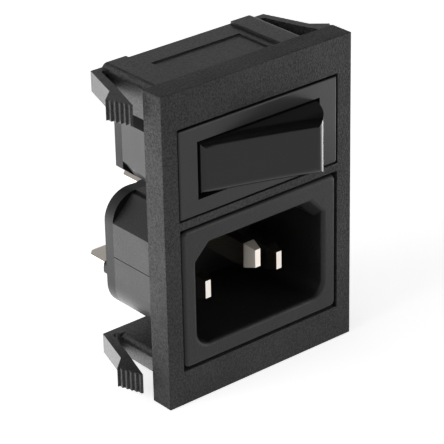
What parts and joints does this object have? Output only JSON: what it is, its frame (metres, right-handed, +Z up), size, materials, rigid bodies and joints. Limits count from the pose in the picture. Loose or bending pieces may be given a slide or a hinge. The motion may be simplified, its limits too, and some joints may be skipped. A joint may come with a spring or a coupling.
{
  "type": "c14 panel inlet socket",
  "caption": "Snap-in panel module: moulded frame with a rocker switch above a C14 appliance inlet, folded ratchet latches and rear blade terminals.",
  "frame": {"origin": "centre of the bezel's rear face, which meets the panel", "axes": "+Z up, with the switch above the inlet; +Y to the rear, behind the panel; seen from the front, +X points right"},
  "size_m": [0.0426, 0.0359, 0.0504],
  "materials": {
    "frame_plastic": "spark-eroded texture",
    "switch_plastic": "satin",
    "base_plastic": "plain moulded",
    "rocker_plastic": "satin",
    "inlet_plastic": "satin",
    "plunger_brass": "turned",
    "spring_steel": "drawn wire",
    "lever_brass": "rolled strip",
    "contact_silver": "silver alloy",
    "switch_blade": "tinned brass",
    "pin_plate": "nickel-plated brass"
  },
  "bodies": {
    "module": {"panel_frame": "frame_plastic", "switch_housing": "switch_plastic", "switch_base": "base_plastic", "inlet_housing": "inlet_plastic", "inlet_rear_cover": "inlet_plastic", "line_terminal": "pin_plate", "neutral_terminal": "pin_plate", "earth_terminal": "pin_plate", "common_terminal_upper": "switch_blade", "common_terminal_lower": "switch_blade", "load_terminal_upper": "switch_blade", "load_terminal_lower": "switch_blade", "fixed_contact_upper": "contact_silver", "fixed_contact_lower": "contact_silver"},
    "rocker": {"rocker": "rocker_plastic", "plunger_spring_upper": "spring_steel", "plunger_spring_lower": "spring_steel"},
    "plunger_upper": {"plunger_upper": "plunger_brass"},
    "plunger_lower": {"plunger_lower": "plunger_brass"},
    "lever_upper": {"contact_lever_upper": "lever_brass", "moving_contact_upper": "contact_silver"},
    "lever_lower": {"contact_lever_lower": "lever_brass", "moving_contact_lower": "contact_silver"}
  },
  "joints": [
    {"name": "rocker_pivot", "type": "hinge", "parent": "module", "child": "rocker", "pos_m": [0, -0.00095, 0.012], "axis": [0, 0, 1], "range_deg": [0, 38.4]},
    {"name": "plunger_slide_upper", "type": "slide", "parent": "rocker", "child": "plunger_upper", "axis": [-0.3289, -0.9444, 0], "range_m": [0, 0.00035], "stiffness_N_per_m": 60, "springref_m": -0.003},
    {"name": "plunger_slide_lower", "type": "slide", "parent": "rocker", "child": "plunger_lower", "axis": [-0.3289, -0.9444, 0], "range_m": [0, 0.00035], "stiffness_N_per_m": 60, "springref_m": -0.003},
    {"name": "lever_pivot_upper", "type": "hinge", "parent": "module", "child": "lever_upper", "pos_m": [0, 0.00505, 0.0143], "axis": [0, 0, 1], "range_deg": [-12, 0]},
    {"name": "lever_pivot_lower", "type": "hinge", "parent": "module", "child": "lever_lower", "pos_m": [0, 0.00505, 0.0097], "axis": [0, 0, 1], "range_deg": [-12, 0]}
  ],
  "couplings": [
    {"joint": "lever_pivot_upper", "follows": "rocker_pivot", "ratio": -0.3125},
    {"joint": "lever_pivot_lower", "follows": "rocker_pivot", "ratio": -0.3125}
  ]
}
